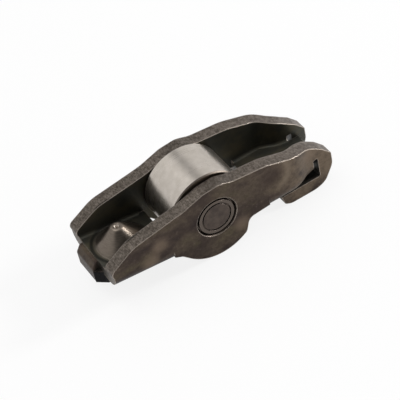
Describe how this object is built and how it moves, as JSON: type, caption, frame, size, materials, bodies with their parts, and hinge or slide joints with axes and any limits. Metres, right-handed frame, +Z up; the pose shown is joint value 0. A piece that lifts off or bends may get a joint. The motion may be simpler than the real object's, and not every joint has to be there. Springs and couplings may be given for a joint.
{
  "type": "rocker arm",
  "caption": "Stamped steel roller finger follower: channel arm with a ball socket at one end, a needle-bearing cam roller between its walls and a guided valve pad at the other end.",
  "frame": {"origin": "on the roller axis, midway between the two walls", "axes": "+X along the arm towards the valve end, +Y along the roller axis, +Z up from the valve pad towards the cam; the pad is level"},
  "size_m": [0.0565, 0.0184, 0.0193],
  "materials": {
    "stamped_steel": "dark heat-treated, satin",
    "pin_steel": "dark hardened, staked ends",
    "roller_steel": "fine ground",
    "needle_steel": "polished"
  },
  "bodies": {
    "arm": {"arm_body": "stamped_steel", "roller_pin": "pin_steel"},
    "roller": {"roller": "roller_steel"},
    "needles": {"needle_01": "needle_steel", "needle_02": "needle_steel", "needle_03": "needle_steel", "needle_04": "needle_steel", "needle_05": "needle_steel", "needle_06": "needle_steel", "needle_07": "needle_steel", "needle_08": "needle_steel", "needle_09": "needle_steel", "needle_10": "needle_steel", "needle_11": "needle_steel", "needle_12": "needle_steel", "needle_13": "needle_steel", "needle_14": "needle_steel", "needle_15": "needle_steel", "needle_16": "needle_steel", "needle_17": "needle_steel", "needle_18": "needle_steel", "needle_19": "needle_steel", "needle_20": "needle_steel"}
  },
  "joints": [
    {"name": "roller_spin", "type": "hinge", "parent": "arm", "child": "roller", "pos_m": [0, 0, 0], "axis": [0, 1, 0], "continuous": true},
    {"name": "needle_orbit", "type": "hinge", "parent": "arm", "child": "needles", "pos_m": [0, 0, 0], "axis": [0, 1, 0], "continuous": true}
  ],
  "couplings": [
    {"joint": "needle_orbit", "follows": "roller_spin", "ratio": 0.5771}
  ]
}
